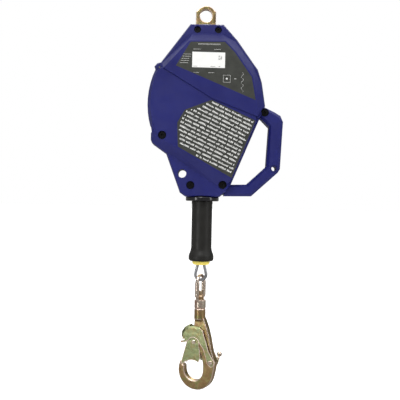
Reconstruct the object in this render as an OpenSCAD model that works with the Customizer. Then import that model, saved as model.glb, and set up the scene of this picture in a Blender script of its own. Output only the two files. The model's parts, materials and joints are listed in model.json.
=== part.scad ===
// Self retracting lifeline: a spring wound cable drum in a two part housing, with a locking snap hook.
// The origin is the centre of the anchor eye, X runs to the handle side, Z is up and Y runs to the back.

/* [Housing] */
// Half depth of the housing at the upper label
label_half = 46; // [44:0.5:50]
// Half depth of the housing over the drum
drum_half = 41; // [41:0.5:43]
// Half depth of the housing rim and of its lower end
rim_half = 29; // [28:0.5:32]
// Half depth of the carry handle
handle_half = 18; // [16:0.5:22]
// Wall thickness of the covers
wall = 3; // [2.5:0.1:3]
// Radius of the through hole beside the nozzle
through_r = 8; // [5:0.5:8]
// Radius of the tether hole in the handle
tether_r = 4.5; // [2:0.5:5]

/* [Anchor] */
// Radius of the anchor eye
eye_r = 11.4; // [10:0.1:12]
// Width of the anchor plate above the housing
anchor_w = 38.5; // [36:0.5:40]
// Thickness of the anchor plate
anchor_t = 8; // [6:0.5:8]

/* [Drum] */
// Outer radius of the drum flanges
flange_r = 86; // [84:0.5:86]
// Radius of the drum core under the cable
core_r = 55; // [54:0.5:56]
// Radius of the outermost cable layer's centre line
layer_r = 72.5; // [70:0.5:74]
// Radius of the fixed drum shaft
shaft_r = 8; // [7:0.5:8]
// Number of locking pawls
pawl_count = 3; // [3:1:3]
// Number of teeth inside the ratchet ring
tooth_count = 12; // [12:12:12]

/* [Cable] */
// Diameter of the steel cable
cable_d = 4.8; // [4:0.1:5]
// Radius of the end loop's centre line
loop_r = 10.8; // [10:0.1:12]

/* [Grip] */
// Outer radius of the grip sleeve
grip_r = 19.4; // [18:0.1:21]
// Largest radius at the foot of the grip sleeve
foot_r = 23.8; // [22:0.1:26]

/* [Hook] */
// Thickness of the forged hook
hook_t = 14; // [12:0.5:14]
// Turn of the hook about its swivel
hook_turn = 25; // [0:5:40]
// Turn of the swivel eye's plane about the vertical
eye_turn = 60; // [55:5:90]

/* [Hidden] */
$fn = 64;

eps = 0.01;
free_gap = 0.3;
drum_x = 3;
drum_z = -170;
drum_r = flange_r + 7;
frame_in = 30.5;
frame_out = 33.5;
screw_r = 3;
nut_t = 5;
guide_z = -336;
nozzle_z = -353;
seal_z = -28;
nozzle_flange_z = -345;
grip_end_z = -467;
loop_z = -493;
apex_z = -456;
bow_bar = 3.0;
leg_bar = 4.3;
bow_r = 12.2;
bow_z = loop_z - 1.3 - bow_r;
gate_at = [-7.4, -621];
lever_at = [29, -656.5];
pawl_at_r = 34;
pawl_len = 26;
pawl_rest = 79.2;
tooth_tip_r = 49;
tooth_root_r = 55;
tooth_face = 34.5;
ring_r = 79.5;
brake_in_r = 64;
brake_out_r = 86;
brake_screw_r = 82.8;
brake_screw_count = 6;

// Plan of the housing without its handle, from the top left corner clockwise
bulge_at = [49, -171.5];
bulge_r = 155.5;
outline = concat(
    [[-28.5, -21.5], [33.5, -21.5], [59, -49.5], [91, -94], [99, -104.5], [107, -129],
     [114, -172.5], [103, -199], [53, -320.5], [43, -335.5], [31.5, -345], [-32.5, -345],
     [-42.5, -338], [-70, -264.5], [-83.5, -255], [-96.5, -246], [-99, -240], [-99, -227.5],
     [-95.5, -221.5]],
    arc(bulge_at, bulge_r, 196, 156, 8),
    [[-95, -102.5], [-89.5, -96], [-82.5, -94]]);
// Raised upper field, its label and the crease where it meets the drum field
upper_top = [[-30, -57.5], [37, -57], [56, -76], [89, -121.5], [97.5, -168], [-57.5, -104]];
upper_foot = [[-25.5, -40], [31, -40], [56.5, -54], [89, -97], [104.5, -130], [111.5, -173]];
crease_foot = [[101.5, -194], [15.5, -162], [-84, -107.5], [-81, -97]];
crease_top = [[-76.5, -108], [15.5, -163], [98, -194], [58, -127.5]];
upper_label_plan = [[-27.5, -59.5], [35.5, -58.5], [54, -77], [86.5, -122.5], [94.5, -165],
                    [-54, -104]];
// Drum field, with the lower label flush against the handle side
drum_top = concat(
    [[-73, -105], [15.5, -146.5], [95, -183.5], [96, -203], [53, -310.5], [-47.5, -255],
     [-83.5, -236.5]],
    arc(bulge_at, bulge_r - 6.5, 192, 156, 8));
drum_foot = concat(
    [[-77, -102], [15.5, -144.5], [98, -182], [99, -200.5], [50.5, -318.5], [37, -331.5],
     [-68.5, -263.5], [-94, -245.5]],
    arc(bulge_at, bulge_r - 2.5, 195, 157, 8));
lower_label_plan = [[13.5, -165], [95.5, -202], [53, -309], [-47.5, -253], [-49.5, -208.5],
                    [-36, -184.5]];
// Handle stations, each an outer and an inner point, in four convex stretches
handle_arms = [
    [[[107, -170], [103, -190]], [[132.5, -182], [116.5, -203.5]], [[144.5, -189], [123.5, -210.5]]],
    [[[144.5, -189], [123.5, -210.5]], [[149.5, -200.5], [123.5, -213.5]],
     [[145.5, -289.5], [119.5, -285.5]]],
    [[[145.5, -289.5], [119.5, -285.5]], [[141.5, -296.5], [117.5, -287.5]], [[92, -342], [83, -320]]],
    [[[92, -342], [83, -320]], [[39.5, -343], [49.5, -321]]]];
handle_edge = 5;
handle_wall = 4;
// Cover screws: X, Z, depth of the surface they sit in and radius of their recess
screws = [[-15.5, -32.5, rim_half, 6.6], [23.5, -32.5, rim_half, 6.6], [-77, -232, drum_half, 7.8],
          [-23, -323.5, rim_half, 7.8], [37, -322, rim_half + 3, 7.8],
          [114.5, -183.5, handle_half, 7.8]];
frame_bolt_places = [[-20, -68], [20, -68], [20, -270]];
through_at = [-39, -302];
tether_at = [133.5, -289];
rivet_at = [-85, -104.5];

function lerp(a, b, t) = a + (b - a) * t;
function toward(a, b, d) = a + (b - a) * d / norm(b - a);
function unit(v) = v / norm(v);
// A clockwise convex plan drawn in by d
function inset(p, d) =
    let (n = len(p))
    [for (i = [0:n - 1])
        let (u = unit(p[i] - p[(i + n - 1) % n]), v = unit(p[(i + 1) % n] - p[i]),
             a = [u[1], -u[0]], b = [v[1], -v[0]])
        p[i] + d * (a + b) / (1 + a * b)];
function arc(c, r, from, to, n) = [for (i = [0:n]) c + r * [cos(lerp(from, to, i / n)),
                                                           sin(lerp(from, to, i / n))]];
function side(p, i) =
    let (a = p[max(i - 1, 0)], b = p[min(i + 1, len(p) - 1)], t = (b - a) / norm(b - a))
    [-t[1], t[0]];
function ring_points(path, section) =
    [for (i = [0:len(path) - 1]) for (s = section)
        let (n = side(path, i)) [path[i][0] + n[0] * s[0], s[1], path[i][1] + n[1] * s[0]]];
function round_section(r, n) = [for (i = [0:n - 1]) r * [cos(360 * i / n), sin(360 * i / n)]];

// Sweeps a section along a path in the XZ plane
module sweep(path, section) {
    k = len(section);
    m = len(path);
    sides = [for (i = [0:m - 2]) for (j = [0:k - 1])
        [i * k + j, i * k + (j + 1) % k, (i + 1) * k + (j + 1) % k, (i + 1) * k + j]];
    ends = [[for (j = [k - 1:-1:0]) j], [for (j = [0:k - 1]) (m - 1) * k + j]];
    polyhedron(ring_points(path, section), concat(sides, ends));
}

// Raises a plan from depth a to depth b while drawing it in by d; every corner can be seen from c
module taper(plan, c, a, b, d) {
    n = len(plan);
    top = inset(plan, d);
    points = concat([for (p = plan) [p[0], -a, p[1]]], [for (p = top) [p[0], -b, p[1]]],
                    [[c[0], -a, c[1]], [c[0], -b, c[1]]]);
    faces = [for (i = [0:n - 1]) let (j = (i + 1) % n)
        each [[i, j, n + j, n + i], [2 * n, j, i], [2 * n + 1, n + i, n + j]]];
    polyhedron(points, faces);
}

// A helical wire about the Z axis
module wire_coil(r, wire, turns, pitch) {
    k = 5;
    steps = 12 * turns;
    points = [for (i = [0:steps]) for (j = [0:k - 1])
        let (a = 360 * turns * i / steps, b = 360 * j / k, q = r + wire / 2 * cos(b))
        [q * cos(a), q * sin(a), pitch * turns * i / steps + wire / 2 * sin(b)]];
    sides = [for (i = [0:steps - 1]) for (j = [0:k - 1])
        [i * k + j, (i + 1) * k + j, (i + 1) * k + (j + 1) % k, i * k + (j + 1) % k]];
    ends = [[for (j = [0:k - 1]) j], [for (j = [k - 1:-1:0]) steps * k + j]];
    polyhedron(points, concat(sides, ends));
}

// Raises a plan of X and Z towards the front, from depth a to depth b
module plate(a, b) {
    translate([0, -a, 0]) rotate([90, 0, 0]) linear_extrude(b - a) children();
}

// A round post along Y at X, Z, from Y = a to Y = b
module post(at, r, a, b) {
    translate([at[0], a, at[1]]) rotate([-90, 0, 0]) cylinder(r = r, h = b - a);
}

// Revolves a profile of radius and Y about the drum's axis
module about_drum() {
    translate([drum_x, 0, drum_z]) rotate([-90, 0, 0]) rotate_extrude($fn = 96) children();
}

// Places children at each of n equal turns about the drum's axis
module around_drum(n, start = 0) {
    translate([drum_x, 0, drum_z])
        for (i = [0:n - 1]) rotate([0, -start - 360 * i / n, 0]) children();
}

module handle_arm(arm) {
    base = [for (s = arm) for (p = s) p];
    top = [for (s = arm) for (p = [toward(s[0], s[1], handle_edge), toward(s[1], s[0], handle_edge)]) p];
    hull() {
        plate(0, handle_half - handle_edge) polygon_of(base, len(arm));
        plate(0, handle_half) polygon_of(top, len(arm));
    }
}

// Closes station pairs into one outline
module polygon_of(points, n) {
    polygon(concat([for (i = [0:n - 1]) points[2 * i]], [for (i = [n - 1:-1:0]) points[2 * i + 1]]));
}

module cover_outside() {
    plate(0, rim_half - 5) polygon(outline);
    taper(outline, [0, drum_z - 20], rim_half - 5, rim_half, 2.5);
    hull() {
        plate(rim_half - 1, rim_half) polygon(drum_foot);
        plate(rim_half - 1, drum_half) polygon(drum_top);
    }
    hull() {
        plate(rim_half - 1, rim_half) polygon(concat(upper_foot, crease_foot));
        plate(rim_half - 1, label_half - 2.5) polygon(crease_top);
        plate(rim_half - 1, label_half) polygon(upper_top);
    }
    for (arm = handle_arms) handle_arm(arm);
}

module handle_cavity() {
    stations = [for (arm = handle_arms) for (i = [1:len(arm) - 1]) arm[i]];
    points = [for (s = stations)
        for (p = [toward(s[0], s[1], handle_wall), toward(s[1], s[0], handle_wall)]) p];
    plate(-1, handle_half - handle_wall) polygon_of(points, len(stations));
}

module cover_inside() {
    plate(-1, rim_half - wall) polygon(inset(outline, wall + 1));
    plate(-1, rim_half + 7.5) polygon([[-33, -58], [34, -58], [70, -108], [-60, -108]]);
    plate(-1, label_half - wall) polygon([[-29, -60], [33, -60], [44, -80], [-38, -80]]);
    post([drum_x, drum_z], drum_r, -drum_half + wall, 1);
    post(frame_bolt_places[2], 12, -drum_half + wall, 1);
    handle_cavity();
}

module cover_bosses() {
    for (s = screws) {
        post([s[0], s[1]], s[3] + 2, -s[2] + 1, -s[2] + 13);
        post([s[0], s[1]], 6, -s[2] + 8, -anchor_t / 2 - free_gap);
    }
    post(through_at, through_r + wall, -rim_half + 1, 0);
    post(tether_at, tether_r + wall, -handle_half + 1, 0);
}

module cover_half(front) {
    difference() {
        cover_outside();
        difference() {
            cover_inside();
            cover_bosses();
        }
        for (s = screws) {
            post([s[0], s[1]], screw_r + 0.3, -label_half - 1, 1);
            post([s[0], s[1]], s[3] - (front ? 0 : 1), -label_half - 1, -s[2] + (front ? 8 : 7));
        }
        post(through_at, through_r, -label_half, 1);
        post(tether_at, tether_r, -label_half, 1);
        post(tether_at, tether_r + 2.2, -label_half, -handle_half + 1.5);
        translate([-anchor_w / 2 - 2, -anchor_t / 2 - 2, seal_z])
            cube([anchor_w + 4, anchor_t / 2 + 3, 10]);
        translate([-32, -anchor_t / 2 - free_gap, -90]) cube([64, anchor_t / 2 + 1, 62]);
        translate([0, 0, nozzle_flange_z - 1]) cylinder(r = 13, h = 24);
        translate([0, 0, nozzle_flange_z + 5]) cylinder(r = 16, h = 6);
    }
}

module front_cover() {
    color("#32367c") difference() {
        cover_half(true);
        plate(label_half - 0.8, label_half + 1) polygon(upper_label_plan);
        plate(drum_half - 0.8, drum_half + 1) polygon(lower_label_plan);
        post(rivet_at, 1.6, -rim_half - 1, -rim_half + 4);
    }
}

module rear_cover() {
    color("#32367c") mirror([0, 1, 0]) cover_half(false);
}

module upper_label() {
    color("#40403a") plate(label_half - 0.8, label_half - 0.1) polygon(upper_label_plan);
}

module id_sticker() {
    color("white") plate(label_half - 0.1, label_half + 0.1)
        polygon([[-24, -78], [36.5, -78.5], [36.5, -107], [-24, -106.5]]);
}

module lower_label() {
    color("#3a3a3c") plate(drum_half - 0.8, drum_half - 0.1) polygon(lower_label_plan);
}

module cover_screws() {
    color("#141414") for (s = screws) difference() {
        union() {
            post([s[0], s[1]], s[3] - 1.2, -s[2] + 4, -s[2] + 8);
            post([s[0], s[1]], screw_r, -s[2] + 7.5, s[2] - 6);
        }
        translate([s[0], -s[2] + 3.5, s[1]]) rotate([-90, 30, 0]) cylinder(r = 2.9, h = 2.8, $fn = 6);
    }
}

module cover_nuts() {
    color("#2a2a2a") for (s = screws) difference() {
        translate([s[0], s[2] - 7, s[1]]) rotate([-90, 0, 0]) cylinder(r = 5.5, h = nut_t, $fn = 6);
        post([s[0], s[1]], screw_r, s[2] - 8, s[2]);
    }
}

module edge_rivet() {
    color("silver") post(rivet_at, 1.6, -rim_half - 0.8, -rim_half + 4);
}

module anchor_plate() {
    half = anchor_w / 2;
    color("#c9b878") difference() {
        plate(-anchor_t / 2, anchor_t / 2) polygon(concat(
            [[-30, -82], [-30, -28.5], [-half, -28.5], [-half, 8]],
            arc([0, 0], half, 146, 34, 12), [[half, 8], [half, -28.5], [30, -28.5], [30, -82]]));
        post([0, 0], eye_r, -anchor_t, anchor_t);
        for (s = [screws[0], screws[1]]) post([s[0], s[1]], screw_r + 0.3, -anchor_t, anchor_t);
        for (b = [0, 1]) post(frame_bolt_places[b], 4, -anchor_t, anchor_t);
    }
}

module anchor_seal() {
    color("#151515") difference() {
        translate([-anchor_w / 2 - 2, -anchor_t / 2 - 2, seal_z]) cube([anchor_w + 4, anchor_t + 4, 9.5]);
        translate([-anchor_w / 2, -anchor_t / 2, seal_z - 1]) cube([anchor_w, anchor_t, 12]);
    }
}

module frame_plate() {
    difference() {
        plate(frame_in, frame_out) union() {
            translate([drum_x, drum_z]) circle(r = flange_r, $fn = 96);
            polygon([[-30, -60], [30, -60], [64, -112], [-54, -112]]);
            translate(frame_bolt_places[2]) circle(r = 10);
        }
        post([drum_x, drum_z], shaft_r, -frame_out - 1, 0);
        for (b = frame_bolt_places) post(b, 4, -frame_out - 1, 0);
        around_drum(brake_screw_count, 15)
            translate([brake_screw_r, -frame_out - 1, 0]) rotate([-90, 0, 0]) cylinder(r = 2.1, h = 9);
        around_drum(5, 50)
            translate([50, -frame_out - 1, 0]) rotate([-90, 0, 0]) cylinder(r = 14, h = 9);
    }
}

module front_frame() {
    color("#9aa0a6") frame_plate();
}

module rear_frame() {
    color("#9aa0a6") mirror([0, 1, 0]) frame_plate();
}

module frame_bolts() {
    color("silver") for (b = frame_bolt_places) {
        post(b, 4, -frame_out, frame_out + 3.8);
        translate([b[0], -frame_out - 4, b[1]]) rotate([-90, 0, 0]) cylinder(r = 7.5, h = 4, $fn = 6);
    }
}

module frame_nuts() {
    color("silver") for (b = frame_bolt_places) difference() {
        translate([b[0], frame_out, b[1]]) rotate([-90, 0, 0]) cylinder(r = 7.5, h = 3.8, $fn = 6);
        post(b, 4, frame_out - 1, frame_out + 5);
    }
}

module frame_spacers() {
    color("#b0b0b0") difference() {
        union() {
            for (b = [0, 1]) {
                post(frame_bolt_places[b], 7, -frame_in, -anchor_t / 2);
                post(frame_bolt_places[b], 7, anchor_t / 2, frame_in);
            }
            post(frame_bolt_places[2], 7, -frame_in, frame_in);
        }
        for (b = frame_bolt_places) post(b, 4, -frame_in - 1, frame_in + 1);
    }
}

module drum_shaft() {
    color("silver") post([drum_x, drum_z], shaft_r, -frame_out - 4, frame_out + 4);
}

module shaft_nuts() {
    color("#8a8a8a") for (y = [-frame_out - 4, frame_out]) difference() {
        translate([drum_x, y, drum_z]) rotate([-90, 0, 0]) cylinder(r = 13, h = 4, $fn = 6);
        post([drum_x, drum_z], shaft_r, y - 1, y + 5);
    }
}

module thrust_spacers() {
    color("#c8a060") difference() {
        union() {
            post([drum_x, drum_z], 12, -frame_in, -14.2);
            post([drum_x, drum_z], 14, 29.2, frame_in);
        }
        post([drum_x, drum_z], shaft_r, -frame_out, frame_out);
    }
}

// An annulus about the drum's axis
module brake_annulus(inner, outer, a, b) {
    about_drum() polygon([[inner, a], [outer, a], [outer, b], [inner, b]]);
}

module brake_screw_holes(r) {
    around_drum(brake_screw_count, 15)
        translate([brake_screw_r, -40, 0]) rotate([-90, 0, 0]) cylinder(r = r, h = 30);
}

module brake_base() {
    color("#7c8288") difference() {
        brake_annulus(brake_in_r, brake_out_r, -27.6, -25.1);
        brake_screw_holes(2.1);
    }
}

module front_lining() {
    color("#6b5a48") brake_annulus(brake_in_r, ring_r - 0.5, -25.1, -23.6);
}

module rear_lining() {
    color("#6b5a48") brake_annulus(brake_in_r, ring_r - 0.5, -18.6, -17.1);
}

module pressure_ring() {
    color("#7c8288") difference() {
        brake_annulus(brake_in_r, brake_out_r, -17.1, -14.6);
        brake_screw_holes(2);
    }
}

module brake_screws() {
    color("#303030") around_drum(brake_screw_count, 15) translate([brake_screw_r, 0, 0]) {
        post([0, 0], 2, -frame_out, -14.8);
        post([0, 0], 3.5, -frame_out - 3, -frame_out);
    }
}

module disc_springs() {
    color("#a0a0a0") around_drum(brake_screw_count, 15) translate([brake_screw_r, 0, 0]) difference() {
        post([0, 0], 4, -frame_in, -27.6);
        post([0, 0], 2.1, -frame_in - 1, -27);
    }
}

module spring_case() {
    color("#2c2c2c") about_drum()
        polygon([[76, 15.6], [78, 15.6], [78, frame_in], [22, frame_in], [22, 29.5], [76, 29.5]]);
}

module spring_lid() {
    color("#2c2c2c") about_drum() polygon([[22, 14.6], [78, 14.6], [78, 15.6], [22, 15.6]]);
}

// Spiral strip from the arbor to the case wall
module power_spring() {
    turns = 11;
    steps = 20 * turns;
    inner = 20.9;
    grow = (75 - inner) / steps;
    strip = 1;
    color("#4a5560") translate([drum_x, 16.5, drum_z]) rotate([-90, 0, 0]) linear_extrude(12)
        polygon(concat(
            [for (i = [0:steps]) (inner + grow * i) * [cos(18 * i), sin(18 * i)]],
            [for (i = [steps:-1:0]) (inner + strip + grow * i) * [cos(18 * i), sin(18 * i)]]));
}

module nozzle() {
    color("#161616") translate([0, 0, nozzle_z]) rotate_extrude() polygon([
        [9, 0], [30, 0], [31.5, 1.5], [31.5, 7], [30.5, 8], [13, 8], [13, 13], [15.8, 13],
        [15.8, 19], [13, 19], [13, 29], [9, 29]]);
}

module cable_guide() {
    color("#d8d4c4") translate([0, 0, nozzle_z + 0.6]) rotate_extrude() polygon([
        [5, 0], [9, 0], [9, 28.4], [12.8, 28.4], [12.8, 32], [11.5, 32], [8, 27], [5, 21]]);
}

// The last part of a turn and the loaded stretch from the drum to the guide
module cable_lead() {
    reach = [-drum_x, guide_z - drum_z];
    away = atan2(reach[1], reach[0]) - acos(layer_r / norm(reach)) + 360;
    color("#9a9a96") sweep(concat(arc([drum_x, drum_z], layer_r, away - 90, away, 12),
        [[0, guide_z + 1.2]]), round_section(cable_d / 2, 10));
}

module cable_drum() {
    color("#8f949a") difference() {
        union() {
            about_drum() polygon([[10, -14], [16, -14], [16, -2], [52, -2], [52, -12], [core_r, -14],
                [flange_r, -14], [flange_r, -12], [core_r, -12], [core_r, 12], [flange_r, 12],
                [flange_r, 14], [52, 14], [52, 2], [16, 2], [16, 14], [10, 14]]);
            around_drum(pawl_count) post([pawl_at_r, 0], 6, -18.6, -1);
        }
        around_drum(pawl_count) post([pawl_at_r, 0], 2.5, -19, 3);
    }
}

module drum_bushes() {
    color("#b08d4a") for (y = [-14, 2.5]) difference() {
        post([drum_x, drum_z], 10, y, y + 11.5);
        post([drum_x, drum_z], shaft_r + 0.05, y - 1, y + 13);
    }
}

// Full layers, with a groove in the outer one where the last turn lies
module wound_cable() {
    groove = cable_d / 2 + free_gap;
    color("#8e8e8a") about_drum() difference() {
        union() {
            translate([core_r, -12]) square([layer_r - core_r, 24]);
            for (y = [-9.6, -groove - cable_d / 2, groove + cable_d / 2, 9.6])
                translate([layer_r, y]) circle(r = cable_d / 2, $fn = 24);
        }
        translate([layer_r - groove, -groove]) square([2 * cable_d, 2 * groove]);
    }
}

module spring_arbor() {
    color("#77797d") difference() {
        union() {
            post([drum_x, drum_z], 20, 14, 29);
            post([drum_x, drum_z], 24, 2, 14);
        }
        post([drum_x, drum_z], 16, 1, 14);
        post([drum_x, drum_z], shaft_r + 0.1, 13, 30);
    }
}

module pawl_pins() {
    color("silver") around_drum(pawl_count) {
        post([pawl_at_r, 0], 2.5, -25.5, -2);
        post([pawl_at_r, 0], 4.2, -26.5, -25.5);
    }
}

module pawl_springs() {
    color("#c0c0c0") around_drum(pawl_count)
        translate([pawl_at_r, -25.2, 0]) rotate([-90, 0, 0]) wire_coil(3.4, 0.6, 2, 0.75);
}

module cable_stop() {
    color("#b87333") translate([drum_x, 0, drum_z]) rotate([0, 65, 0])
        translate([46, -7, -6]) cylinder(r = 4, h = 12);
}

// A locking pawl on its pivot, nose outwards
module pawl(i) {
    color("#5c5148") translate([drum_x, 0, drum_z]) rotate([0, -360 * i / pawl_count, 0])
        translate([pawl_at_r, 0, 0]) rotate([0, -pawl_rest, 0]) difference() {
            plate(18.8, 23.4) union() {
                circle(r = 6);
                polygon([[0, -6], [18, -4], [pawl_len + 0.3, -1.3], [pawl_len + 0.3, 1.5], [23, 4.5],
                         [12, 6], [0, 6]]);
                polygon([[0, 6], [-12, 5], [-14, 0], [-11, -5], [0, -6]]);
            }
            post([0, 0], 2.55, -24, -18);
        }
}

module pawl_1() {
    pawl(0);
}

module pawl_2() {
    pawl(1);
}

module pawl_3() {
    pawl(2);
}

module ratchet_ring() {
    pitch = 360 / tooth_count;
    tooth = [[tooth_tip_r, 0], [tooth_tip_r, 4], [tooth_root_r, 15], [tooth_root_r, pitch]];
    color("#6d6258") translate([drum_x, 0, drum_z]) plate(18.7, 23.5) difference() {
        circle(r = ring_r, $fn = 96);
        polygon([for (i = [0:tooth_count - 1]) for (t = tooth)
            t[0] * [cos(tooth_face + t[1] + pitch * i), sin(tooth_face + t[1] + pitch * i)]]);
    }
}

module grip_sleeve() {
    color("#1d1c1a") rotate_extrude() polygon([
        [3.6, nozzle_z], [grip_r + 0.5, nozzle_z], [grip_r + 0.5, nozzle_z - 5], [grip_r, nozzle_z - 6],
        [grip_r, -442], [grip_r + 1.2, -448], [foot_r - 0.6, -455], [foot_r, -458], [foot_r, -464],
        [foot_r - 2.5, grip_end_z], [13, grip_end_z], [13, -360], [3.6, -360]]);
}

module end_ring() {
    color("#f2dd50") rotate_extrude() polygon([
        [10, -474], [14.5, -474], [16.5, -471], [16.8, grip_end_z], [12.9, grip_end_z], [12.9, -458],
        [10, -458]]);
}

module cable_tail() {
    color("#9a9a96") sweep([for (z = [guide_z:-12:-420]) [0, z]], round_section(cable_d / 2, 10));
}

module cable_ferrule() {
    color("#b87333") difference() {
        translate([0, 0, apex_z]) cylinder(r = 6.5, h = 37);
        translate([0, 0, -421]) cylinder(r = cable_d / 2 + eps, h = 3);
    }
}

loop_top = apex_z - 0.6;
loop_d = norm([2.5, loop_top - loop_z]);
loop_a = atan2(loop_top - loop_z, 2.5) - acos(loop_r / loop_d);
loop_path = concat([[2.5, loop_top]], arc([0, loop_z], loop_r, loop_a, -180 - loop_a, 20),
                   [[-2.5, loop_top]]);

module cable_loop() {
    color("#9a9a96") sweep(loop_path, round_section(cable_d / 2, 8));
}

// Channel section of the thimble, measured from the cable's centre line
module thimble_section() {
    translate([loop_r, 0]) polygon([[-3.4, -3.6], [0.6, -3.6], [0.6, -cable_d / 2],
        [-cable_d / 2, -cable_d / 2], [-cable_d / 2, cable_d / 2], [0.6, cable_d / 2], [0.6, 3.6],
        [-3.4, 3.6]]);
}

module thimble() {
    leg = 0.6 * norm(loop_path[1] - loop_path[0]);
    color("#a8a8a4") translate([0, 0, loop_z]) rotate([90, 0, 0]) {
        rotate([0, 0, 180 - loop_a]) rotate_extrude(angle = 180 + 2 * loop_a) thimble_section();
        for (m = [0, 1]) mirror([m, 0, 0])
            rotate([0, 0, loop_a]) rotate([-90, 0, 0]) linear_extrude(leg) thimble_section();
    }
}

// Forged link: a slim bow, two stout legs and a round boss
module swivel_eye() {
    path = concat([[-7.4, -547], [-bow_r, -533], [-bow_r, bow_z]], arc([0, bow_z], bow_r, 174, 6, 14),
                  [[bow_r, bow_z], [bow_r, -533], [7.4, -547]]);
    color("#b59f86") rotate([0, 0, eye_turn]) difference() {
        union() {
            sweep(path, round_section(bow_bar, 12));
            for (x = [-bow_r, bow_r]) translate([x, 0, -533]) {
                sphere(r = leg_bar);
                cylinder(r = leg_bar, h = bow_z - 2 + 533);
                translate([0, 0, bow_z - 2 + 533]) cylinder(r1 = leg_bar, r2 = bow_bar - 0.3, h = 7);
            }
            translate([0, 0, -557]) cylinder(r = 11, h = 15.5);
        }
        translate([0, 0, -560]) cylinder(r = 4.05, h = 22);
        translate([0, 0, -541.5]) cylinder(r = 6.8, h = 12);
    }
}

module swivel_stud() {
    color("#c8a24a") {
        translate([0, 0, -575]) cylinder(r = 4, h = 34);
        translate([0, 0, -541]) cylinder(r = 6, h = 6);
        translate([0, 0, -535]) cylinder(r1 = 6, r2 = 4.2, h = 3);
        translate([0, 0, -532]) cylinder(r = 3.2, h = 8);
    }
}

module hook_frame() {
    rotate([0, 0, -hook_turn]) children();
}

hook_plan = concat(
    [[-8, -576], [-9, -590], [-13.5, -607]],
    arc(gate_at, 9, 170, 300, 8),
    [[2, -636], [9, -650], [11, -664]],
    arc([-8.5, -675.5], 19.5, 0, -180, 16),
    [[-28, -667.5], [-33.5, -666.5], [-35, -659.5], [-40, -661]],
    arc([-4.2, -676.5], 36.2, 158, 345, 22),
    [[34.5, -668], [36, -657], [33, -650], [27.5, -632], [23.5, -612], [18.7, -595], [13.5, -582],
     [11, -576]]);

module hook_body() {
    half = hook_t / 2;
    color("#8f7d58") hook_frame() difference() {
        union() {
            plate(-half, half) polygon(hook_plan);
            translate([0, 0, -579]) cylinder(r = 11, h = 21.7);
        }
        translate([0, 0, -575]) cylinder(r = 4, h = 20);
        post(gate_at, 2.5, -hook_t, hook_t);
        post(lever_at, 2.5, -hook_t, hook_t);
        translate([gate_at[0] - 16, -3.4, gate_at[1] - 8.5]) cube([22.5, 6.8, 17]);
    }
}

module gate_rivet() {
    color("#c9c0a8") hook_frame() {
        post(gate_at, 2.45, -9.2, 9.2);
        for (y = [-10.6, 9.2]) post(gate_at, 4, y, y + 1.4);
    }
}

module lever_pin() {
    color("#b9ad90") hook_frame() {
        post(lever_at, 2.45, -11.6, 26);
        post(lever_at, 4.4, -13.4, -11.6);
        translate([lever_at[0], 26, lever_at[1]]) {
            sphere(r = 2.45);
            rotate([-32, 0, 0]) cylinder(r = 2.3, h = 9);
            rotate([-32, 0, 0]) translate([0, 0, 10]) sphere(r = 5);
        }
    }
}

module gate_spring() {
    color("#c0c0c0") hook_frame() translate([gate_at[0], -2.4, gate_at[1]]) rotate([-90, 0, 0])
        wire_coil(4.4, 0.9, 4, 1.15);
}

module lever_spring() {
    color("#c0c0c0") hook_frame() translate([lever_at[0], 11.7, lever_at[1]]) rotate([-90, 0, 0])
        wire_coil(3.7, 0.9, 3, 0.95);
}

gate_plan = concat([[-19, -611], [-22.5, -624], [-33.2, -661.5], [-31.5, -664.5]],
    arc([-10, -682], 26.5, 140, 62, 8), [[6, -650], [3.5, -630], [1.5, -612], [-8, -609]]);

module gate() {
    color("#8f9a68") hook_frame() difference() {
        plate(-8.9, 8.9) polygon(gate_plan);
        plate(-7.4, 7.4) polygon([[-17, -605], [-20.8, -624], [-31.2, -660.5], [-34, -690],
                                  [30, -690], [20, -600]]);
        post(gate_at, 2.55, -12, 12);
    }
}

// Side plates of the lever, with the wave over the gate's rivet and the finger at its left
lever_plan = [[-30, -613.5], [-29.5, -606], [-25, -600], [-18, -595.5], [-11, -594], [6, -594],
    [11, -598], [13.5, -606], [18, -618], [23, -634], [31, -648], [36.5, -656], [34, -663],
    [28.5, -664.5], [22.5, -660], [19, -648], [13.5, -632], [6, -622.5], [0.5, -614.5],
    [-8, -611.5], [-14, -613.5], [-19, -619], [-24.5, -622.5], [-34, -624], [-34.5, -622],
    [-27, -619.5], [-25, -616.5], [-31, -617.5]];
// Thumb pad over them, at its crown and at the side plates, and the hollow inside it
pad_crown = [[-36, -613.5], [-35.5, -604], [-29, -595], [-20, -589.5], [-12, -588], [5, -588],
             [5, -605], [-31, -617.5]];
pad_side = [[-30, -613.5], [-29.5, -606], [-25, -600], [-18, -595.5], [-11, -594], [6, -594],
            [6, -605], [-29, -615]];
pad_hollow = [[-34, -613], [-33.6, -604.8], [-28, -596.8], [-19.6, -591.6], [-17.8, -591],
              [-17.8, -617], [-33, -620]];
pad_hollow_side = [[-28.4, -613], [-28, -606.6], [-24, -601.5], [-17.8, -597.4], [-17.8, -617],
                   [-28, -618]];

module lock_lever() {
    outer = 11.1;
    inner = 9.6;
    color("#8f9a68") hook_frame() difference() {
        union() {
            plate(-outer, outer) polygon(lever_plan);
            hull() {
                plate(-4.5, 4.5) polygon(pad_crown);
                plate(-outer, outer) polygon(pad_side);
            }
        }
        hull() {
            plate(-3.4, 3.4) polygon(pad_hollow);
            plate(-inner, inner) polygon(pad_hollow_side);
        }
        plate(-inner, inner) polygon([[-28, -606], [-17.8, -603], [60, -603], [60, -680], [-60, -680],
                                      [-35.2, -619], [-28, -612]]);
        plate(-7.6, 7.6) polygon([[-17.8, -570], [60, -570], [60, -610], [-17.8, -610]]);
        post(lever_at, 2.55, -12, 12);
    }
}

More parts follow.
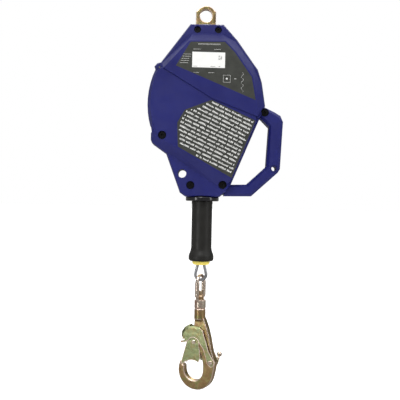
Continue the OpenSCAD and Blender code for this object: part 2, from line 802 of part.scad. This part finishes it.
front_cover();
rear_cover();
upper_label();
id_sticker();
lower_label();
cover_screws();
cover_nuts();
edge_rivet();
anchor_plate();
anchor_seal();
front_frame();
rear_frame();
frame_bolts();
frame_nuts();
frame_spacers();
drum_shaft();
shaft_nuts();
thrust_spacers();
brake_base();
front_lining();
rear_lining();
pressure_ring();
brake_screws();
disc_springs();
spring_case();
spring_lid();
power_spring();
nozzle();
cable_guide();
cable_lead();
cable_drum();
drum_bushes();
wound_cable();
spring_arbor();
pawl_pins();
pawl_springs();
cable_stop();
pawl_1();
pawl_2();
pawl_3();
ratchet_ring();
grip_sleeve();
end_ring();
cable_tail();
cable_ferrule();
cable_loop();
thimble();
swivel_eye();
hook_body();
swivel_stud();
gate_rivet();
lever_pin();
gate_spring();
lever_spring();
gate();
lock_lever();
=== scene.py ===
"""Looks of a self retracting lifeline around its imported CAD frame. Metres, +Z up, +Y to the back."""
import json
import math
import random

import bpy
from mathutils import Matrix, Vector


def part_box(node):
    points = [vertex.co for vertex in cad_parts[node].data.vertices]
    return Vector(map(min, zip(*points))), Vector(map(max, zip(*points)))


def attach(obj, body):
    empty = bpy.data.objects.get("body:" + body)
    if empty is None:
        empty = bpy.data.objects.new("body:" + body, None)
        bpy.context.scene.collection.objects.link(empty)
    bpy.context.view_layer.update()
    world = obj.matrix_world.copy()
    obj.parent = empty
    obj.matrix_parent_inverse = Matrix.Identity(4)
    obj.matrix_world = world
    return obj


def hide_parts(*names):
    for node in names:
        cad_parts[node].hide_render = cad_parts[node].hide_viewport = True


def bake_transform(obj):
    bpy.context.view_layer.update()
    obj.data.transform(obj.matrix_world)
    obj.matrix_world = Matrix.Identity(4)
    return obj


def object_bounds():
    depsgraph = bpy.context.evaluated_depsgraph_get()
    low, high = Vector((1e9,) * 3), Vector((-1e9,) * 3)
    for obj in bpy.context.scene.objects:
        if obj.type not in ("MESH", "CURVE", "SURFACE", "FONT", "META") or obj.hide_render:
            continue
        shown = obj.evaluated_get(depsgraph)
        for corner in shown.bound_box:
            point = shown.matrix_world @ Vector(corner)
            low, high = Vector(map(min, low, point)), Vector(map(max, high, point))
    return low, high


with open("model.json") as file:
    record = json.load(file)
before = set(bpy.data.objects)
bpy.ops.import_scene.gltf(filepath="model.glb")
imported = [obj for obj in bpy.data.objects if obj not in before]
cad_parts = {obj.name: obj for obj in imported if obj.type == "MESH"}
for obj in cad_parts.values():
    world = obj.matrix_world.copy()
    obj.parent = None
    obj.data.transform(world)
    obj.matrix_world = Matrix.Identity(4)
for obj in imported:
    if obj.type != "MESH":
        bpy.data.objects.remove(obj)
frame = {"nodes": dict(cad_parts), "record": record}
cad_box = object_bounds()
nodes = frame["nodes"]
slot_of = {s["node"]: s["material_slot"] for s in frame["record"]["subparts"]}
body_of = {n: b for b, ns in frame["record"]["behaviour"]["bodies"].items() for n in ns}
joints = {j["name"]: j for j in frame["record"]["behaviour"]["joints"]}
scene = bpy.context.scene
MM = 0.001
MIX_A, MIX_B, MIX_OUT = 6, 7, 2  # the colour sockets of a Mix node
NOISE_LOW, NOISE_HIGH = 0.3, 0.7  # most of a noise texture lies between these


# ---------------------------------------------------------------- camera
def make_camera(distance=1.300, frame_width=0.764, aim=(-0.0043, -0.351), roll=1.2):
    """Level with the part's middle and in front of it; frame_width is seen at the distance, in metres."""
    data = bpy.data.cameras.new("camera")
    data.sensor_width = 36
    data.lens = data.sensor_width * distance / frame_width
    data.clip_start = 0.01
    cam = bpy.data.objects.new("camera", data)
    scene.collection.objects.link(cam)
    cam.matrix_world = (Matrix.Translation((aim[0], -distance, aim[1]))
                        @ Matrix.Rotation(math.radians(90), 4, "X")
                        @ Matrix.Rotation(math.radians(roll), 4, "Z"))
    scene.camera = cam


# ---------------------------------------------------------------- materials
class Paint:
    """One material: a Principled shader and helpers that add detail in object space."""

    def __init__(self, name, colour, rough, metal=0.0):
        self.mat = bpy.data.materials.new(name)
        self.mat.use_nodes = True
        self.tree = self.mat.node_tree
        self.bsdf = self.tree.nodes["Principled BSDF"]
        self.bsdf.inputs["Base Color"].default_value = (*colour, 1)
        self.bsdf.inputs["Roughness"].default_value = rough
        self.bsdf.inputs["Metallic"].default_value = metal
        self.coords = self.tree.nodes.new("ShaderNodeTexCoord").outputs["Object"]
        self.normal = None

    def set(self, **values):
        for key, value in values.items():
            self.bsdf.inputs[key.replace("_", " ")].default_value = value
        return self

    def link(self, a, b):
        self.tree.links.new(a, b)

    def noise(self, scale, detail=3.0, rough=0.5, stretch=(1, 1, 1)):
        mapping = self.tree.nodes.new("ShaderNodeMapping")
        mapping.inputs["Scale"].default_value = stretch
        node = self.tree.nodes.new("ShaderNodeTexNoise")
        node.inputs["Scale"].default_value = scale
        node.inputs["Detail"].default_value = detail
        node.inputs["Roughness"].default_value = rough
        self.link(self.coords, mapping.inputs["Vector"])
        self.link(mapping.outputs["Vector"], node.inputs["Vector"])
        return node.outputs["Fac"]

    def ramp(self, fac, stops):
        node = self.tree.nodes.new("ShaderNodeValToRGB")
        ramp = node.color_ramp
        while len(ramp.elements) < len(stops):
            ramp.elements.new(0.5)
        for element, (place, colour) in zip(ramp.elements, stops):
            element.position = place
            element.color = (*colour, 1)
        self.link(fac, node.inputs["Fac"])
        return node.outputs["Color"]

    def mottle(self, stops, scale, **noise):
        """Base colour from noise through a ramp of colours."""
        colour = self.ramp(self.noise(scale, **noise), stops)
        self.link(colour, self.bsdf.inputs["Base Color"])
        return self

    def cover(self, factor, colour):
        """Mixes a colour over the base colour, by the factor socket."""
        mix = self.tree.nodes.new("ShaderNodeMix")
        mix.data_type = "RGBA"
        base = self.bsdf.inputs["Base Color"]
        self.link(factor, mix.inputs["Factor"])
        self.link(base.links[0].from_socket, mix.inputs[MIX_A])
        mix.inputs[MIX_B].default_value = (*colour, 1)
        self.link(mix.outputs[MIX_OUT], base)
        return self

    def tint_edges(self, colour, blend, amount):
        """Mixes in a colour towards grazing angles, as a thin passivate film does."""
        weight = self.tree.nodes.new("ShaderNodeLayerWeight")
        weight.inputs["Blend"].default_value = blend
        scaled = self.tree.nodes.new("ShaderNodeMath")
        scaled.operation = "MULTIPLY"
        scaled.inputs[1].default_value = amount
        self.link(weight.outputs["Facing"], scaled.inputs[0])
        return self.cover(scaled.outputs[0], colour)

    def rough(self, low, high, scale, **noise):
        """Roughness that wanders between low and high."""
        node = self.tree.nodes.new("ShaderNodeMapRange")
        node.inputs["From Min"].default_value = NOISE_LOW
        node.inputs["From Max"].default_value = NOISE_HIGH
        node.inputs["To Min"].default_value = low
        node.inputs["To Max"].default_value = high
        self.link(self.noise(scale, **noise), node.inputs["Value"])
        self.link(node.outputs["Result"], self.bsdf.inputs["Roughness"])
        return self

    def painted_light_by_convexity(self, colour, low, high):
        """Mixes in a colour where the surface is as convex as low to high; 0.5 is flat. This paints light
        and shade by shape: a highlight on convex edges, shade in hollows.
        """
        curve = self.tree.nodes.new("ShaderNodeNewGeometry").outputs["Pointiness"]
        span = self.tree.nodes.new("ShaderNodeMapRange")
        span.inputs["From Min"].default_value = low
        span.inputs["From Max"].default_value = high
        self.link(curve, span.inputs["Value"])
        return self.cover(span.outputs["Result"], colour)

    def bump(self, height, scale, **noise):
        """Adds fine relief; height is in metres, and a later call lies on top of an earlier one."""
        node = self.tree.nodes.new("ShaderNodeBump")
        node.inputs["Strength"].default_value = 1.0
        node.inputs["Distance"].default_value = height
        self.link(self.noise(scale, **noise), node.inputs["Height"])
        if self.normal:
            self.link(self.normal, node.inputs["Normal"])
        self.normal = node.outputs["Normal"]
        self.link(self.normal, self.bsdf.inputs["Normal"])
        return self


def two_tone(colour, down, up):
    """Ramp stops from a darker to a lighter shade of a colour."""
    darker = tuple(c * down for c in colour)
    lighter = tuple(c * up for c in colour)
    return [(NOISE_LOW, darker), (NOISE_HIGH, lighter)]


def blue_plastic():
    p = Paint("blue_plastic", (0.012, 0.0145, 0.129), 0.42)
    p.mottle([(NOISE_LOW, (0.010, 0.012, 0.116)), (NOISE_HIGH, (0.014, 0.017, 0.142))], 18, detail=4)
    p.rough(0.36, 0.5, 60).bump(0.12 * MM, 1500, detail=2).bump(0.4 * MM, 45, detail=2)
    return p.set(Specular_IOR_Level=0.35)


def printed_film(name, colour, spread):
    p = Paint(name, colour, 0.4)
    p.mottle(two_tone(colour, 1 - spread, 1 + spread), 90, detail=5)
    return p.bump(0.05 * MM, 900).rough(0.32, 0.5, 120)


def moulded(name, colour, low, high, grain):
    """Rubber or plastic, with its roughness from low to high and a grain in metres."""
    p = Paint(name, colour, (low + high) / 2)
    p.mottle(two_tone(colour, 0.8, 1.25), 40, detail=5)
    return p.rough(low, high, 70).bump(grain, 1400, detail=2)


def steel(name, colour, low, high, grain=0.05 * MM, stretch=(1, 1, 1)):
    """Bare metal, with its roughness from low to high and a grain in metres."""
    p = Paint(name, colour, (low + high) / 2, 1.0)
    p.mottle(two_tone(colour, 0.75, 1.2), 60, detail=6)
    return p.rough(low, high, 160, stretch=stretch).bump(grain, 700, detail=4, stretch=stretch)


def passivate(name, stops, film, low=0.22, high=0.42, paint_convexity_light=True):
    """Zinc plate under a chromate film: patches of colour, a tint at the edges, fine forging relief, and,
    unless turned off, a painted highlight on convex edges and painted shade in hollows.
    """
    p = Paint(name, stops[0][1], (low + high) / 2, 1.0)
    p.mottle(stops, 70, detail=8, rough=0.75)
    p.tint_edges(film, 0.4, 0.6)
    if paint_convexity_light:
        # painted highlight: pale pink on convex edges; painted shade: brown in the hollows
        p.painted_light_by_convexity(PALE_PINK, 0.505, 0.522).painted_light_by_convexity(BROWN, 0.498, 0.475)
    p.rough(low, high, 110, detail=5)
    return p.bump(0.5 * MM, 100, detail=4).bump(0.05 * MM, 600, detail=3)


GOLD = (0.52, 0.43, 0.19)
OLIVE = (0.34, 0.37, 0.14)
PALE_GREEN = (0.50, 0.58, 0.31)
PINK = (0.68, 0.42, 0.35)
COPPER = (0.46, 0.27, 0.14)
PALE = (0.80, 0.74, 0.62)
PALE_PINK = (1.0, 0.80, 0.68)
BROWN = (0.10, 0.065, 0.03)


def make_materials():
    """One material for each material slot, by name; whatever was there before is removed."""
    for plain in list(bpy.data.materials):
        bpy.data.materials.remove(plain)
    made = [
        blue_plastic(),
        printed_film("label_dark", (0.038, 0.040, 0.034), 0.15),
        printed_film("label_white", (0.86, 0.86, 0.84), 0.03),
        moulded("black_steel", (0.004, 0.004, 0.005), 0.3, 0.42, 0.04 * MM).set(
            Specular_IOR_Level=0.25),
        moulded("black_rubber", (0.013, 0.0125, 0.011), 0.36, 0.52, 0.12 * MM).set(
            Specular_IOR_Level=0.35),
        moulded("black_plastic", (0.006, 0.006, 0.008), 0.14, 0.26, 0.03 * MM).set(Coat_Weight=0.3),
        moulded("yellow_plastic", (0.86, 0.70, 0.12), 0.28, 0.4, 0.04 * MM),
        passivate("yellow_zinc", [(0.36, OLIVE), (0.46, GOLD), (0.54, COPPER), (0.64, OLIVE)], COPPER),
        passivate("olive_zinc", [(0.34, OLIVE), (0.48, PALE_GREEN), (0.62, GOLD)], BROWN, 0.24, 0.38,
                  paint_convexity_light=False),
        passivate("copper_zinc", [(0.32, COPPER), (0.48, PALE), (0.64, PINK)], COPPER, 0.16, 0.3),
        steel("galvanised", (0.64, 0.66, 0.70), 0.25, 0.42, 0.1 * MM),
        steel("steel", (0.56, 0.56, 0.57), 0.2, 0.35),
        steel("dark_steel", (0.16, 0.15, 0.14), 0.35, 0.5, 0.12 * MM),
        steel("cast_aluminium", (0.58, 0.59, 0.60), 0.4, 0.6, 0.25 * MM),
        steel("bronze", (0.52, 0.36, 0.16), 0.3, 0.45),
        moulded("friction_lining", (0.15, 0.11, 0.07), 0.75, 0.9, 0.3 * MM),
        steel("spring_steel", (0.22, 0.27, 0.34), 0.2, 0.35, stretch=(1, 6, 1)),
        moulded("white_nylon", (0.72, 0.70, 0.62), 0.4, 0.55, 0.06 * MM),
    ]
    return {p.mat.name: p.mat for p in made}


# ---------------------------------------------------------------- mesh helpers
WELD = 0.00002  # metres between points that are one point


def new_piece(name, verts, faces, material, body, smooth=True):
    """A visible piece of the given faces; it rides on the body, unless body is None."""
    mesh = bpy.data.meshes.new(name)
    mesh.from_pydata([tuple(v) for v in verts], [], faces)
    mesh.validate()
    mesh.update()
    mesh.polygons.foreach_set("use_smooth", [smooth] * len(mesh.polygons))
    piece = bpy.data.objects.new(name, mesh)
    scene.collection.objects.link(piece)
    mesh.materials.append(material)
    if body:
        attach(piece, body)
    return piece


def modifier(obj, kind, **values):
    """Adds a modifier of a kind and sets its values."""
    made = obj.modifiers.new(kind.lower(), kind)
    for key, value in values.items():
        setattr(made, key, value)
    return made


def round_edges(obj, width, segments=2, angle=28):
    """Softens a CAD node's edges without touching its mesh."""
    modifier(obj, "WELD", merge_threshold=WELD)
    modifier(obj, "DECIMATE", decimate_type="DISSOLVE", angle_limit=math.radians(1.0))
    modifier(obj, "BEVEL", width=width, segments=segments, limit_method="ANGLE",
             angle_limit=math.radians(angle), harden_normals=True)
    modifier(obj, "WEIGHTED_NORMAL", keep_sharp=True)


def forge(obj, voxel, passes, factor=0.5):
    """Gives a CAD node the soft corners of a forging or a pressing."""
    modifier(obj, "WELD", merge_threshold=WELD)
    modifier(obj, "REMESH", mode="VOXEL", voxel_size=voxel, use_smooth_shade=True)
    modifier(obj, "SMOOTH", factor=factor, iterations=passes)


# ---------------------------------------------------------------- CAD nodes
EDGES = {  # node: rounding of its edges in metres
    "front_cover": 0.0014, "rear_cover": 0.0014, "cover_screws": 0.0006, "cover_nuts": 0.0004,
    "anchor_seal": 0.0006, "nozzle": 0.0008, "grip_sleeve": 0.0010, "end_ring": 0.0006,
}
FORGED = {  # node: voxel in metres and smoothing passes
    "hook_body": (0.0008, 24), "swivel_eye": (0.0005, 8), "gate": (0.0005, 6),
    "lock_lever": (0.0005, 8), "anchor_plate": (0.0006, 10), "swivel_stud": (0.0004, 3),
    "lever_pin": (0.0004, 1), "gate_rivet": (0.0003, 5),
}


def finish_nodes(materials):
    """Gives every CAD node its material, smooth shading and, where listed, its softened edges."""
    for name, node in nodes.items():
        node.data.materials.clear()
        node.data.materials.append(materials[slot_of[name]])
        node.data.polygons.foreach_set("use_smooth", [True] * len(node.data.polygons))
        if name in EDGES:
            segments = 3 if name.endswith("cover") else 2
            round_edges(node, EDGES[name], segments)
        if name in FORGED:
            forge(node, *FORGED[name])


# ---------------------------------------------------------------- printed marks
INK = 0.12 * MM  # how far a mark stands proud of its label


def outline_of(node):
    """The front face's outline of a flat label, as (x, z) points, from its own mesh."""
    corners = [v.co for v in nodes[node].data.vertices]
    front = min(c.y for c in corners)
    flat = [c for c in corners if c.y < front + 0.1 * MM]
    middle = sum((Vector((c.x, c.z)) for c in flat), Vector((0, 0))) / len(flat)
    points = {(round(c.x, 5), round(c.z, 5)) for c in flat}
    around = sorted(points, key=lambda q: math.atan2(q[1] - middle.y, q[0] - middle.x))
    return [Vector(q) for q in around]


def within(point, outline, margin):
    """Whether a point lies inside a convex outline given anticlockwise, by at least the margin."""
    for a, b in zip(outline, outline[1:] + outline[:1]):
        side = (b - a).normalized()
        if side.x * (point.y - a.y) - side.y * (point.x - a.x) < margin:
            return False
    return True


def print_marks(name, marks, front, material):
    """Raised ink on the housing: each mark is a centre x and z, half a width, half a height, a tilt."""
    verts, faces = [], []
    for x, z, half_w, half_h, tilt in marks:
        base = len(verts)
        c, s = math.cos(tilt), math.sin(tilt)
        for depth in (0, INK):
            for u, v in ((-half_w, -half_h), (half_w, -half_h), (half_w, half_h), (-half_w, half_h)):
                verts.append((x + u * c - v * s, front - depth, z + u * s + v * c))
        faces.append((base + 4, base + 5, base + 6, base + 7))
        for k in range(4):
            n = (k + 1) % 4
            faces.append((base + k, base + n, base + 4 + n, base + 4 + k))
    return new_piece(name, verts, faces, material, "housing", smooth=False)


def lower_rows():
    """Slanted rows of plain ink bars in groups, as generic stand-ins for small print."""
    outline = outline_of("lower_label")
    low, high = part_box("lower_label")
    middle = Vector(((low.x + high.x) / 2, (low.z + high.z) / 2))
    tilt = math.radians(-25)
    along = Vector((math.cos(tilt), math.sin(tilt)))
    across = Vector((-math.sin(tilt), math.cos(tilt)))
    rows, reach = 11, 90 * MM  # rows above and below the middle, and half of a row's run
    pitch, half, margin = 7.2 * MM, 1.65 * MM, 3.6 * MM
    bar_gap, group_gap = 0.95 * MM, 2.2 * MM
    pick = random.Random(7)
    marks = []
    for row in range(-rows, rows + 1):
        run = pick.uniform(0, 4) * MM - reach
        left = pick.randint(4, 9)
        while run < reach:
            width = pick.uniform(1.0, 1.7) * MM
            tall = half * pick.choice((1.0, 1.0, 0.8, 0.62))
            spot = middle + along * (run + width / 2) + across * (row * pitch + tall - half)
            if within(spot, outline, margin):
                marks.append((spot.x, spot.y, width / 2, tall, tilt))
            run += width + bar_gap
            left -= 1
            if left == 0:
                run += group_gap
                left = pick.randint(3, 10)
    return marks


def upper_lines():
    """Faint broken lines, a plain frame round a diamond and a wavy stroke, placed from the sticker."""
    low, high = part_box("id_sticker")
    wide = high.x - low.x
    pick = random.Random(3)
    marks = []

    def line(x, z, length, half=0.25 * MM):
        """A broken fine line of random dashes, from its left end."""
        run = 0
        while run < length:
            dash = pick.uniform(1.0, 2.6) * MM
            marks.append((x + run + dash / 2, z, dash / 2, half, 0))
            run += dash + 0.7 * MM

    line(low.x + wide / 6, high.z + 15 * MM, wide * 2 / 3)
    line(low.x + wide / 6, high.z + 13.7 * MM, wide * 2 / 3, 0.12 * MM)
    for x in (low.x + 2 * MM, high.x - wide / 3):
        line(x, high.z + 5 * MM, wide / 5)
    for k in range(5):
        line(low.x - (16 + 1.6 * k) * MM, high.z - (4.5 + 4 * k) * MM, 14 * MM)
    for x in (low.x + 3 * MM, low.x + wide / 2):
        line(x, low.z - 9 * MM, wide / 6)

    side, stroke = 6.5 * MM, 0.15 * MM
    middle_x, middle_z = high.x + side * 0.6, low.z - side * 3
    for turn in (-1, 1):
        marks.append((middle_x + turn * side, middle_z, stroke, side, 0))
        marks.append((middle_x, middle_z + turn * side, side, stroke, 0))
    diamond = side * 0.22
    marks.append((middle_x, middle_z, diamond, diamond, math.radians(45)))
    marks.append((middle_x + side * 2.4, middle_z, side * 0.3, 2 * stroke, 0))

    steps, waves, swing, fall = 26, 3.5, 2 * MM, 1.4 * MM
    wave_x, wave_z = middle_x + side * 4.4, low.z - 8 * MM
    for k in range(steps):
        turn = waves * math.tau * k / steps
        lean = 0.6 * math.cos(turn)
        marks.append((wave_x + swing * math.sin(turn), wave_z - fall * k, 0.12 * MM, 0.85 * MM, lean))
    return marks


def sticker_marks():
    """A small dotted square and a few short dashes on the plain sticker."""
    low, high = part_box("id_sticker")
    columns, rows, pitch, dot = 5, 6, 1.3 * MM, 0.45 * MM
    left, top = high.x - 11.5 * MM, high.z - 7.2 * MM
    pick = random.Random(11)
    marks = []
    for i in range(columns):
        for j in range(rows):
            if pick.random() < 0.6:
                marks.append((left + i * pitch, top - j * pitch, dot, dot, 0))
    step, foot = 1.5 * MM, low.z + 2.4 * MM
    for start, dashes in ((3 * MM, 5), (34.5 * MM, 6), (49.5 * MM, 2)):
        for k in range(dashes):
            marks.append((low.x + start + step * k, foot, dot, 0.5 * MM, 0))
    return marks


def make_print(materials):
    """Each set of marks lies on the front of the label that carries it."""
    for name, marks, label, slot in (("lower_rows", lower_rows(), "lower_label", "label_white"),
                                     ("upper_lines", upper_lines(), "upper_label", "label_white"),
                                     ("sticker_marks", sticker_marks(), "id_sticker", "label_dark")):
        print_marks(name, marks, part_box(label)[0].y, materials[slot])


# ---------------------------------------------------------------- wire rope
LOBES = 6  # strands that show round the rope
ROUND = 18  # points round the rope
VALLEY = 0.86  # the rope's radius between two strands, over its radius on a strand
LAY = 45 * MM  # length along the rope of one turn of a strand


def rope(name, path, twist, radius, material, body):
    """Twisted wire rope along a path of points in the XZ plane; twist is the turn at each point."""
    verts, faces = [], []
    for k, point in enumerate(path):
        ahead = (path[min(k + 1, len(path) - 1)] - path[max(k - 1, 0)]).normalized()
        side = Vector((0, 1, 0))
        third = ahead.cross(side)
        for n in range(ROUND):
            turn = math.tau * n / ROUND
            lobe = radius * (VALLEY + (1 - VALLEY) * abs(math.cos(LOBES / 2 * turn)))
            spun = turn + twist[k]
            verts.append(point + side * lobe * math.cos(spun) + third * lobe * math.sin(spun))
    for k in range(len(path) - 1):
        for n in range(ROUND):
            m = (n + 1) % ROUND
            a = k * ROUND
            faces.append((a + n, a + m, a + ROUND + m, a + ROUND + n))
    faces.append(tuple(range(ROUND)))
    last = (len(path) - 1) * ROUND
    faces.append(tuple(last + n for n in reversed(range(ROUND))))
    return new_piece(name, verts, faces, material, body)


def finer(curve, step):
    """The same line with points added, about a step apart."""
    points = []
    for a, b in zip(curve, curve[1:]):
        parts = max(1, round((b - a).length / step))
        points += [a.lerp(b, k / parts) for k in range(parts)]
    return points + [curve[-1]]


def make_loop(metal):
    """The end loop: down one leg, round the thimble and up the other. Returns the cable's radius."""
    low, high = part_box("cable_loop")
    radius = (high.y - low.y) / 2
    bend = (high.x - low.x) / 2 - radius
    centre = Vector((0, 0, low.z + radius + bend))
    start = Vector((2.5 * MM, 0, high.z - 0.3 * MM))
    reach = start - centre
    tangent = math.atan2(reach.z, reach.x) - math.acos(bend / reach.length)
    steps = 48
    curve = [start]
    for k in range(steps + 1):
        turn = tangent - (math.pi + 2 * tangent) * k / steps
        curve.append(centre + Vector((math.cos(turn), 0, math.sin(turn))) * bend)
    curve.append(Vector((-start.x, 0, start.z)))
    path = finer(curve, 1.0 * MM)
    run = [0.0]
    for a, b in zip(path, path[1:]):
        run.append(run[-1] + (b - a).length)
    twist = [math.tau * d / LAY for d in run]
    loop = rope("rope_loop", path, twist, radius * 0.99, metal, "lifeline")
    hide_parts("cable_loop")
    return radius


def make_tail(metal, radius):
    """The cable between drum and grip, twisted so that its lay is even when it is fully paid out.

    A blend moves a point by t * t * (3 - 2 * t) of the travel, so the rings stand where that
    weight goes up in equal steps.
    """
    low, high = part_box("cable_tail")
    length = joints["payout"]["range_m"][1]
    rings = 1400
    path, twist = [], []
    for k in range(rings + 1):
        weight = k / rings
        t = 0.5 - math.sin(math.asin(1 - 2 * weight) / 3)
        path.append(Vector((0, 0, high.z + (low.z - high.z) * t)))
        twist.append(math.tau * weight * length / LAY)
    tail = rope("rope_tail", path, twist, radius * 0.94, metal, None)
    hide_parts("cable_tail")
    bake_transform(tail)


def make_rope(materials):
    metal = materials[slot_of["cable_loop"]]
    make_tail(metal, make_loop(metal))


# ---------------------------------------------------------------- beads of painted highlight along sheet edges
FLAT = 0.00005  # metres that a point may lie under the flat side
STEEP = 0.15  # a sheet's cut edge has a normal that leans less than this to the axis
RIM_RADIUS = {"lock_lever": 0.7 * MM, "gate": 0.65 * MM}


def free_edges(node, axis, sign):
    """The edges of a pressing's flat side that faces sign * axis, each a pair of rounded points."""
    mesh = nodes[node].data
    mesh.calc_loop_triangles()
    key = [tuple(round(c, 6) for c in v.co) for v in mesh.vertices]
    reach = max(sign * v.co.dot(axis) for v in mesh.vertices)
    inner, outer = {}, {}
    for tri in mesh.loop_triangles:
        corners = [key[v] for v in tri.vertices]
        flat = all(reach - sign * Vector(c).dot(axis) < FLAT for c in corners)
        for a, b in zip(corners, corners[1:] + corners[:1]):
            edge = frozenset((a, b))
            if len(edge) < 2:
                continue
            if flat:
                inner[edge] = inner.get(edge, 0) + 1
            else:
                outer[edge] = abs(tri.normal.dot(axis))
    return [e for e, count in inner.items() if count == 1 and outer.get(e, 1) < STEEP]


def chains_of(edges):
    """Edges joined end to end into chains of points, open chains first."""
    ends = {}
    for edge in edges:
        for point in edge:
            ends.setdefault(point, []).append(edge)
    left, chains = set(edges), []
    starts = sorted(p for p, es in ends.items() if len(es) == 1) + sorted(ends)
    for start in starts:
        chain = [start]
        while True:
            onward = [e for e in ends[chain[-1]] if e in left]
            if not onward:
                break
            left.discard(onward[0])
            chain += [q for q in onward[0] if q != chain[-1]]
        if len(chain) > 2:
            chains.append([Vector(q) for q in chain])
    return chains


def add_tube(verts, faces, path, axis, radius, sides=8):
    """A round bead along a flat chain of points; it is a ring if the chain ends where it starts."""
    loop = (path[0] - path[-1]).length < 0.00001
    points = path[:-1] if loop else path
    count, base = len(points), len(verts)
    for k, point in enumerate(points):
        ahead = points[(k + 1) % count] if loop else points[min(k + 1, count - 1)]
        behind = points[k - 1] if loop or k else points[0]
        across = (ahead - behind).normalized().cross(axis)
        for n in range(sides):
            turn = math.tau * n / sides
            verts.append(point + across * radius * math.cos(turn) + axis * radius * math.sin(turn))
    for k in range(count if loop else count - 1):
        a, b = base + k * sides, base + (k + 1) % count * sides
        for n in range(sides):
            m = (n + 1) % sides
            faces.append((a + n, a + m, b + m, b + n))
    if not loop:
        last = base + (count - 1) * sides
        faces.append(tuple(base + n for n in reversed(range(sides))))
        faces.append(tuple(last + n for n in range(sides)))


def make_highlight_beads():
    """Beads along the sheared edges of the lever and the gate, coloured pale pink as a painted highlight.
    """
    axis = Vector(joints["lever_press"]["axis"]).normalized()
    # painted highlight: the pale pink beads stand in for light caught on the sheet edges
    paint = Paint("painted_edge_highlight", PALE_PINK, 0.35, 0.45)
    paint.mottle([(0.35, PINK), (0.55, PALE_PINK), (0.7, PALE)], 120, detail=4)
    paint.bump(0.1 * MM, 500)
    shortest, sink = 30 * MM, 0.5  # the bead's middle lies half its radius under the face
    for node, radius in RIM_RADIUS.items():
        verts, faces = [], []
        for sign in (-1, 1):
            for chain in chains_of(free_edges(node, axis, sign)):
                if sum((b - a).length for a, b in zip(chain, chain[1:])) > shortest:
                    sunk = [q - sign * axis * radius * sink for q in chain]
                    add_tube(verts, faces, sunk, axis, radius)
        new_piece(node + "_rim", verts, faces, paint.mat, body_of[node])


# ---------------------------------------------------------------- stage
def floor_material():
    """Pale to the camera, darker in reflections, and clear from below."""
    pale, dim = (0.85, 0.85, 0.85), (0.22, 0.21, 0.20)
    p = Paint("floor", pale, 0.9).set(Emission_Color=(0.5, 0.5, 0.5, 1))
    path = p.tree.nodes.new("ShaderNodeLightPath")
    p.link(path.outputs["Is Camera Ray"], p.bsdf.inputs["Emission Strength"])
    mix = p.tree.nodes.new("ShaderNodeMix")
    mix.data_type = "RGBA"
    mix.inputs[MIX_A].default_value = (*pale, 1)
    mix.inputs[MIX_B].default_value = (*dim, 1)
    p.link(path.outputs["Is Glossy Ray"], mix.inputs["Factor"])
    p.link(mix.outputs[MIX_OUT], p.bsdf.inputs["Base Color"])
    back = p.tree.nodes.new("ShaderNodeNewGeometry").outputs["Backfacing"]
    clear = p.tree.nodes.new("ShaderNodeBsdfTransparent")
    surface = p.tree.nodes.new("ShaderNodeMixShader")
    p.link(back, surface.inputs["Fac"])
    p.link(p.bsdf.outputs[0], surface.inputs[1])
    p.link(clear.outputs[0], surface.inputs[2])
    p.link(surface.outputs[0], p.tree.nodes["Material Output"].inputs["Surface"])
    return p.mat


def make_stage():
    """A wide floor just under the part as it hangs at rest."""
    level, size = cad_box[0].z - 0.03, 30
    corners = [(-size, -size, level), (size, -size, level), (size, size, level), (-size, size, level)]
    mesh = bpy.data.meshes.new("floor")
    mesh.from_pydata(corners, [], [(0, 1, 2, 3)])
    floor = bpy.data.objects.new("floor", mesh)
    scene.collection.objects.link(floor)
    mesh.materials.append(floor_material())


def area_light(name, place, aim, size, power):
    """A white rectangle of light at a place, turned towards its aim; size in metres, power in watts."""
    data = bpy.data.lights.new(name, "AREA")
    data.shape = "RECTANGLE"
    data.size, data.size_y = size
    data.energy = power
    light = bpy.data.objects.new(name, data)
    scene.collection.objects.link(light)
    light.location = place
    light.rotation_mode = "QUATERNION"
    light.rotation_quaternion = (Vector(aim) - Vector(place)).to_track_quat("-Z", "Y")


def make_light():
    """Camera rays see plain white; everything else is lit by a studio bright above, dim at its sides."""
    world = bpy.data.worlds.new("world")
    scene.world = world
    world.use_nodes = True
    tree = world.node_tree
    lit = tree.nodes["Background"]
    coords = tree.nodes.new("ShaderNodeTexCoord")
    split = tree.nodes.new("ShaderNodeSeparateXYZ")
    ramp = tree.nodes.new("ShaderNodeValToRGB")
    stops = [(0.0, 0.5), (0.06, 0.12), (0.4, 0.2), (0.62, 1.1), (1.0, 1.5)]  # height, brightness
    while len(ramp.color_ramp.elements) < len(stops):
        ramp.color_ramp.elements.new(0.5)
    for element, (place, level) in zip(ramp.color_ramp.elements, stops):
        element.position = place
        element.color = (level, level, level, 1)
    seen = tree.nodes.new("ShaderNodeBackground")
    seen.inputs["Color"].default_value = (1, 1, 1, 1)
    path = tree.nodes.new("ShaderNodeLightPath")
    mix = tree.nodes.new("ShaderNodeMixShader")
    tree.links.new(coords.outputs["Generated"], split.inputs[0])
    tree.links.new(split.outputs["Z"], ramp.inputs["Fac"])
    tree.links.new(ramp.outputs["Color"], lit.inputs["Color"])
    tree.links.new(path.outputs["Is Camera Ray"], mix.inputs["Fac"])
    tree.links.new(lit.outputs[0], mix.inputs[1])
    tree.links.new(seen.outputs[0], mix.inputs[2])
    tree.links.new(mix.outputs[0], tree.nodes["World Output"].inputs["Surface"])
    middle = (0, 0, -0.35)
    area_light("key", (-0.35, -1.4, 1.1), middle, (0.5, 0.9), 11)
    area_light("side", (1.5, -0.8, 0.1), middle, (0.25, 1.4), 5)
    area_light("low", (-1.0, -1.0, -0.45), (0, 0, -0.6), (0.15, 0.5), 2.5)
    area_light("rim", (0.1, 1.6, 0.6), middle, (0.9, 0.9), 12)


def main():
    """The materials come before the stage, because making them removes all earlier ones."""
    make_camera()
    make_light()
    materials = make_materials()
    make_stage()
    finish_nodes(materials)
    make_print(materials)
    make_rope(materials)
    make_highlight_beads()
    scene.view_settings.view_transform = "Standard"


main()
